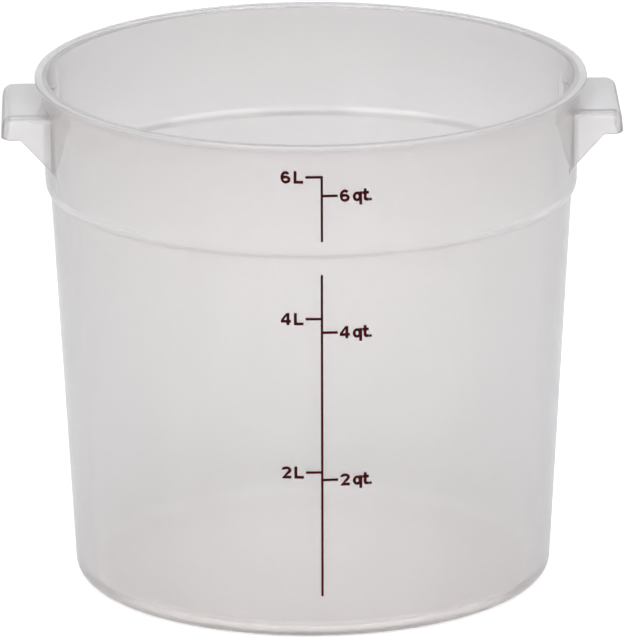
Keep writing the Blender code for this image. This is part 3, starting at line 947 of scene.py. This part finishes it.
def either_ray(nodes, *names):
    """1 for rays of the named kinds, and 0 for the others."""
    path = nodes.add("LightPath")
    total = path.outputs[names[0]]
    for name in names[1:]:
        total = nodes.work_out("MAXIMUM", total, path.outputs[name])
    return total


def floor_material(stage, foot_radius):
    """White matt floor, with a glow for the camera and a weaker one for rays through plastic.

    Milky plastic lets scattered light down to the surface that it stands on. The shader's
    plastic doesn't, so the floor's own glow is stronger below the tub.
    """
    material, nodes, place = new_material("pale_floor")
    patches = spread(nodes, noise(nodes, place, FLOOR_SCALE, detail=2.0), 0.0, 1.0)
    darker = [value * FLOOR_SHADE_SHARE for value in stage.floor_color]
    shade = tinted(nodes, patches, stage.floor_color, darker)
    surface = nodes.add("BsdfDiffuse", Color=shade).outputs[0]
    direct = nodes.work_out("MULTIPLY", either_ray(nodes, "Is Camera Ray"), stage.floor_glow)
    away = nodes.add("VectorMath", place, settings={"operation": "LENGTH"}).outputs["Value"]
    fade = [foot_radius * part for part in UNDER_SHARES]
    below = spread(nodes, away, stage.floor_under, stage.floor_through, fade)
    plastic = either_ray(nodes, "Is Glossy Ray", "Is Transmission Ray")
    through = nodes.work_out("MULTIPLY", plastic, below)
    for strength, tint in ((direct, (1.0, 1.0, 1.0)), (through, stage.under_tint)):
        glow = nodes.add("Emission", Strength=strength, Color=(*tint, 1.0))
        surface = nodes.add("AddShader", surface, glow.outputs[0]).outputs[0]
    nodes.add("OutputMaterial", Surface=surface)
    return material


# Stage


def white_world(stage):
    """White where the camera sees it, and weaker where it lights or is met by other rays.

    Rays off plastic meet the backdrop's strength. Rays through plastic meet that at the horizon
    and the overhead strength high up. All others meet the ambient strength.
    """
    world = bpy.data.worlds.new("studio")
    bpy.context.scene.world = world
    world.use_nodes = True
    world.node_tree.nodes.clear()
    nodes = Nodes(world.node_tree)
    toward = nodes.add("TexCoord").outputs["Generated"]
    rise = nodes.add("SeparateXYZ", Vector=toward).outputs["Z"]
    climb = (stage.overhead_from, stage.overhead_to)
    around = spread(nodes, rise, stage.backdrop, stage.overhead, climb)
    past = either_ray(nodes, "Is Transmission Ray")
    behind = spread(nodes, past, stage.backdrop, around, SWITCH)
    plastic = either_ray(nodes, "Is Glossy Ray", "Is Transmission Ray")
    unseen = spread(nodes, plastic, stage.ambient, behind, SWITCH)
    strength = nodes.work_out("MAXIMUM", either_ray(nodes, "Is Camera Ray"), unseen)
    sky = nodes.add("Background", Color=(1.0, 1.0, 1.0, 1.0), Strength=strength)
    nodes.add("OutputWorld", Surface=sky.outputs[0])


# Each light's name, place and size in metres, and the settings of its power and its tint
LIGHTS = [
    ("key_light", (-1.0, -1.2, 1.1), (1.3, 1.3), "key", "front_tint"),
    ("fill_light", (1.1, -1.1, 0.95), (1.3, 1.1), "fill", "front_tint"),
    ("front_light", (0.0, -1.0, 1.2), (1.3, 0.9), "front", "front_tint"),
    ("top_light", (0.0, -0.1, 1.25), (1.2, 1.2), "top", "top_tint"),
]


def soft_light(name, place, aim, size, watts, tint):
    """A large area light at a place, turned to face the aim."""
    light = bpy.data.lights.new(name, "AREA")
    light.shape = "RECTANGLE"
    light.size, light.size_y = size
    light.energy = watts
    light.color = tint
    lamp = add_object(name, light)
    lamp.location = place
    lamp.rotation_mode = "QUATERNION"
    lamp.rotation_quaternion = (Vector(aim) - Vector(place)).to_track_quat("-Z", "Y")


# The picture's width on the sensor in millimetres, and how near and how far the camera sees
SENSOR_WIDTH = 36.0
NEAREST, FARTHEST = 0.1, 60.0


def set_camera(stage):
    """The photograph's camera: a long lens that looks down on the rim a little."""
    data = bpy.data.cameras.new("camera")
    data.lens = stage.lens
    data.sensor_width = SENSOR_WIDTH
    data.shift_x = stage.shift
    data.clip_start, data.clip_end = NEAREST, FARTHEST
    camera = add_object("camera", data)
    level, rise = math.cos(stage.elevation), math.sin(stage.elevation)
    back = Vector((math.sin(stage.azimuth) * level, -math.cos(stage.azimuth) * level, rise))
    camera.location = Vector((0, 0, stage.aim_height)) + back * stage.distance
    camera.rotation_mode = "QUATERNION"
    roll = Quaternion((0, 0, 1), stage.roll)
    camera.rotation_quaternion = (-back).to_track_quat("-Z", "Y") @ roll
    bpy.context.scene.camera = camera


# Operators


class TUB_OT_mould(Operator):
    """Moulds the tub with its handles as one closed shell, in place of the CAD node"""

    bl_idname = "tub.mould"
    bl_label = "Mould the tub"

    def execute(self, context):
        tub, handle = context.scene.tub_shape, context.scene.tub_handles
        right = handle_mesh(tub, handle)
        mesh = combine(
            "tub_moulding",
            tub_outside(tub),
            [("UNION", right), ("UNION", turned_half(right)), ("DIFFERENCE", tub_inside(tub))],
        )
        mesh.name = "tub_moulding"
        loose = open_edges(mesh)
        if loose:
            raise RuntimeError(f"the moulding isn't closed: {loose} edges are open")
        if points_of(mesh)[:, 0].max() < HANDLE_END - MILLIMETRE:
            raise RuntimeError("the moulding has lost its handles")
        mesh.materials.clear()
        mesh.materials.append(plastic_material(context.scene.tub_plastic))
        mesh.shade_smooth()
        mesh.set_sharp_from_angle(angle=SHARP_ANGLE)
        piece = add_object("tub_moulding", mesh)
        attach(piece, BODY)
        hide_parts("tub")
        return {"FINISHED"}


class TUB_OT_print_scale(Operator):
    """Prints the two scale lines with their numbers and units on collar and wall"""

    bl_idname = "tub.print_scale"
    bl_label = "Print the scale"

    def execute(self, context):
        tub, ink = context.scene.tub_shape, context.scene.tub_scale
        material = ink_material(context.scene.tub_ink)
        low, tall = shoulder_top(tub), shoulder_foot(tub)
        collar, wall = partial(collar_radius, tub), partial(wall_radius, tub)
        print_line("upper_scale_line", COLLAR_SHARES, low, tub.collar_depth, collar, ink, material)
        print_line("lower_scale_line", WALL_SHARES, 0, tall, wall, ink, material)
        return {"FINISHED"}


class TUB_OT_set_stage(Operator):
    """Lays the pale floor and sets the lights, the white surroundings and the camera"""

    bl_idname = "tub.set_stage"
    bl_label = "Set the stage"

    def execute(self, context):
        stage = context.scene.tub_stage
        ends = (-stage.floor_size, stage.floor_size)
        corners = [(x, y, -stage.floor_gap) for y in ends for x in ends]
        mesh = bpy.data.meshes.new("floor")
        mesh.from_pydata(corners, [], [(0, 1, 3, 2)])
        mesh.materials.append(floor_material(stage, wall_radius(context.scene.tub_shape, 0)))
        add_object("floor", mesh)
        white_world(stage)
        middle = (0, 0, stage.aim_height)
        for name, place, size, power, tint in LIGHTS:
            soft_light(name, place, middle, size, getattr(stage, power), getattr(stage, tint))
        set_camera(stage)
        context.scene.view_settings.view_transform = "Standard"
        return {"FINISHED"}


class TUB_PT_panel(Panel):
    """Lists the steps and their settings"""

    bl_idname = "TUB_PT_panel"
    bl_label = "Storage tub"
    bl_space_type = "VIEW_3D"
    bl_region_type = "UI"
    bl_category = "Storage tub"

    def draw(self, context):
        for operator, groups in STEPS:
            box = self.layout.box()
            box.operator(operator.bl_idname)
            for group in groups:
                settings = getattr(context.scene, group)
                for name in settings.bl_rna.properties.keys():
                    if name not in ("rna_type", "name"):
                        box.prop(settings, name)


GROUPS = {
    "tub_shape": TubShape,
    "tub_handles": HandleShape,
    "tub_scale": ScaleShape,
    "tub_plastic": PlasticFinish,
    "tub_ink": InkFinish,
    "tub_stage": StageSetup,
}
STEPS = [
    (TUB_OT_mould, ("tub_shape", "tub_handles", "tub_plastic")),
    (TUB_OT_print_scale, ("tub_scale", "tub_ink")),
    (TUB_OT_set_stage, ("tub_stage",)),
]
CLASSES = [*GROUPS.values(), *(operator for operator, _ in STEPS), TUB_PT_panel]


def register():
    for cls in CLASSES:
        bpy.utils.register_class(cls)
    for name, group in GROUPS.items():
        setattr(bpy.types.Scene, name, PointerProperty(type=group))


def unregister():
    for name in GROUPS:
        delattr(bpy.types.Scene, name)
    for cls in reversed(CLASSES):
        bpy.utils.unregister_class(cls)


def main():
    """Makes everything in order."""
    register()
    bpy.ops.tub.mould()
    bpy.ops.tub.print_scale()
    bpy.ops.tub.set_stage()


if __name__ == "__main__":
    main()
